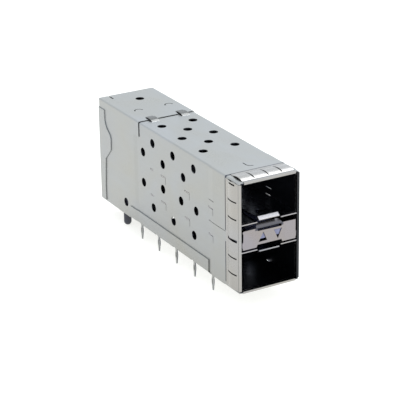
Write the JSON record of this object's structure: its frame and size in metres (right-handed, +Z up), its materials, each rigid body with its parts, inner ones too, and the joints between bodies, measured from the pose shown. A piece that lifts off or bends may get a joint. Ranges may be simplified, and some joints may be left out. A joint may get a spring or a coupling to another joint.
{
  "type": "sfp cage",
  "caption": "Stacked press-fit port cage for pluggable network modules, with perforated folded sheet shell, grounding fingers, latch tongues, light pipes and connector.",
  "frame": {"origin": "on the board's plane, in the middle of the cage's width, at the front face of the mouth", "axes": "+Y from the mouth to the rear, +Z up away from the board, +X across, to the right when the mouth is faced"},
  "size_m": [0.0162, 0.0678, 0.0309],
  "materials": {
    "cage_sheet": "satin",
    "deck_sheet": "satin",
    "spring_strip": "bright",
    "light_pipe": "frosted",
    "holder_plastic": "matte",
    "connector_plastic": "matte",
    "wafer_plastic": "matte",
    "contact_plating": "bright"
  },
  "bodies": {
    "root": {"cage_shell": "cage_sheet", "rear_cover": "cage_sheet", "bottom_plate": "cage_sheet", "upper_deck": "deck_sheet", "lower_deck": "deck_sheet", "window_plate": "deck_sheet", "emi_strip_top": "spring_strip", "emi_strip_left": "spring_strip", "emi_strip_right": "spring_strip", "emi_strip_bottom": "spring_strip", "light_pipe_up": "light_pipe", "light_pipe_down": "light_pipe", "light_pipe_holder": "holder_plastic", "connector_housing": "connector_plastic", "wafers_a": "wafer_plastic", "wafers_b": "wafer_plastic", "upper_outer_contacts": "contact_plating", "upper_inner_contacts": "contact_plating", "lower_inner_contacts": "contact_plating", "lower_outer_contacts": "contact_plating", "tail_organizer": "wafer_plastic"}
  },
  "joints": []
}
